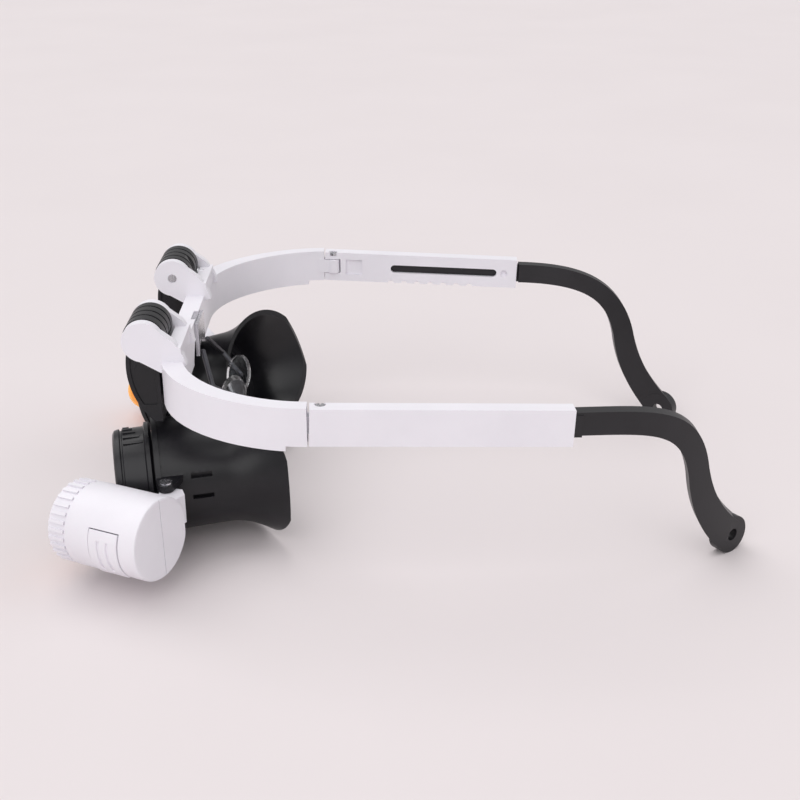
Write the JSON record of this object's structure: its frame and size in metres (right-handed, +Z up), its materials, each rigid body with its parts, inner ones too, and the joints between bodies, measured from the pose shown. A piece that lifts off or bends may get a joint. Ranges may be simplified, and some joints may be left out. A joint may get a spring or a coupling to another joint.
{
  "type": "head visor magnifier",
  "caption": "Spectacle-style visor with flip-up black loupes, clip-on white lamps with amber domes, and folding white temples with sliding black tips.",
  "frame": {"origin": "centre of the footprint, on the resting surface", "axes": "+Z up, -Y the way the wearer looks, +X the wearer's left; the temples run back to +Y"},
  "size_m": [0.165, 0.2112, 0.074],
  "materials": {
    "white_plastic": "satin moulded",
    "black_plastic": "fine satin",
    "barrel_black": "satin, ribbed",
    "tip_black": "satin",
    "steel": "bright",
    "dark_steel": "blackened",
    "lens_glass": "polished",
    "clear_pad": "clear soft plastic",
    "amber_dome": "translucent gloss",
    "board_green": "solder mask"
  },
  "bodies": {
    "frame": {"front_frame": "white_plastic", "flip_pins": "steel", "detent_pins": "steel", "temple_screws": "steel", "nose_bracket": "steel", "nose_pad_arms": "dark_steel", "left_nose_pad": "clear_pad", "right_nose_pad": "clear_pad"},
    "left_arm": {"left_flip_arm": "black_plastic", "left_tilt_pin": "steel"},
    "left_loupe": {"left_loupe_tube": "black_plastic", "left_eye_lens": "lens_glass", "left_eye_lens_ring": "black_plastic", "left_lamp_screw": "steel"},
    "left_barrel": {"left_front_barrel": "barrel_black", "left_front_lens": "lens_glass", "left_front_lens_ring": "black_plastic"},
    "left_lamp": {"left_lamp_housing": "white_plastic", "left_lamp_cap": "white_plastic", "left_button_cells": "steel", "left_cell_contact": "steel", "left_lamp_board": "board_green", "left_lamp_dome": "amber_dome"},
    "left_collar": {"left_lamp_collar": "white_plastic"},
    "left_door": {"left_battery_door": "white_plastic"},
    "left_side_piece": {"left_temple": "white_plastic"},
    "left_tip": {"left_temple_tip": "tip_black"},
    "right_arm": {"right_flip_arm": "black_plastic", "right_tilt_pin": "steel"},
    "right_loupe": {"right_loupe_tube": "black_plastic", "right_eye_lens": "lens_glass", "right_eye_lens_ring": "black_plastic", "right_lamp_screw": "steel"},
    "right_barrel": {"right_front_barrel": "barrel_black", "right_front_lens": "lens_glass", "right_front_lens_ring": "black_plastic"},
    "right_lamp": {"right_lamp_housing": "white_plastic", "right_lamp_cap": "white_plastic", "right_button_cells": "steel", "right_cell_contact": "steel", "right_lamp_board": "board_green", "right_lamp_dome": "amber_dome"},
    "right_collar": {"right_lamp_collar": "white_plastic"},
    "right_door": {"right_battery_door": "white_plastic"},
    "right_side_piece": {"right_temple": "white_plastic"},
    "right_tip": {"right_temple_tip": "tip_black"}
  },
  "joints": [
    {"name": "left_flip", "type": "hinge", "parent": "frame", "child": "left_arm", "pos_m": [0.031, -0.0773, 0.0677], "axis": [-1, 0, 0], "range_deg": [0, 90]},
    {"name": "left_tilt", "type": "hinge", "parent": "left_arm", "child": "left_loupe", "pos_m": [0.014, -0.0773, 0.0214], "axis": [1, 0, 0], "range_deg": [0, 19]},
    {"name": "left_barrel_turn", "type": "hinge", "parent": "left_loupe", "child": "left_barrel", "pos_m": [0.033, -0.0781, 0.0204], "axis": [-0.1908, 0.9814, 0.0209], "range_deg": [0, 300]},
    {"name": "left_lamp_swing", "type": "hinge", "parent": "left_loupe", "child": "left_lamp", "pos_m": [0.0532, -0.0715, 0.0204], "axis": [0, 0, 1], "range_deg": [0, 20]},
    {"name": "left_switch", "type": "hinge", "parent": "left_lamp", "child": "left_collar", "pos_m": [0.06017, -0.09277, 0.01843], "axis": [-0.4694, -0.8827, -0.0227], "range_deg": [0, 40]},
    {"name": "left_door_slide", "type": "slide", "parent": "left_lamp", "child": "left_door", "axis": [0.8659, -0.455, -0.2079], "range_m": [0, 0.008]},
    {"name": "left_fold", "type": "hinge", "parent": "frame", "child": "left_side_piece", "pos_m": [0.0734, -0.0243, 0.0554], "axis": [0, 0, 1], "range_deg": [0, 82]},
    {"name": "left_tip_slide", "type": "slide", "parent": "left_side_piece", "child": "left_tip", "axis": [-0.0506, 0.998, -0.0366], "range_m": [0, 0.018]},
    {"name": "right_flip", "type": "hinge", "parent": "frame", "child": "right_arm", "pos_m": [-0.031, -0.0773, 0.0677], "axis": [-1, 0, 0], "range_deg": [0, 90]},
    {"name": "right_tilt", "type": "hinge", "parent": "right_arm", "child": "right_loupe", "pos_m": [-0.014, -0.0773, 0.0214], "axis": [1, 0, 0], "range_deg": [-19, 0]},
    {"name": "right_barrel_turn", "type": "hinge", "parent": "right_loupe", "child": "right_barrel", "pos_m": [-0.033, -0.07773, 0.02019], "axis": [0.1908, 0.9211, 0.3393], "range_deg": [0, 300]},
    {"name": "right_lamp_swing", "type": "hinge", "parent": "right_loupe", "child": "right_lamp", "pos_m": [-0.0532, -0.07149, 0.02234], "axis": [0, 0.3256, -0.9455], "range_deg": [0, 20]},
    {"name": "right_switch", "type": "hinge", "parent": "right_lamp", "child": "right_collar", "pos_m": [-0.06017, -0.09096, 0.01356], "axis": [0.4694, -0.8272, -0.3088], "range_deg": [0, 40]},
    {"name": "right_door_slide", "type": "slide", "parent": "right_lamp", "child": "right_door", "axis": [-0.8659, -0.3626, -0.3447], "range_m": [0, 0.008]},
    {"name": "right_fold", "type": "hinge", "parent": "frame", "child": "right_side_piece", "pos_m": [-0.0734, -0.0243, 0.0554], "axis": [0, 0, -1], "range_deg": [0, 64]},
    {"name": "right_tip_slide", "type": "slide", "parent": "right_side_piece", "child": "right_tip", "axis": [0.0506, 0.998, -0.0366], "range_m": [0, 0.018]}
  ]
}
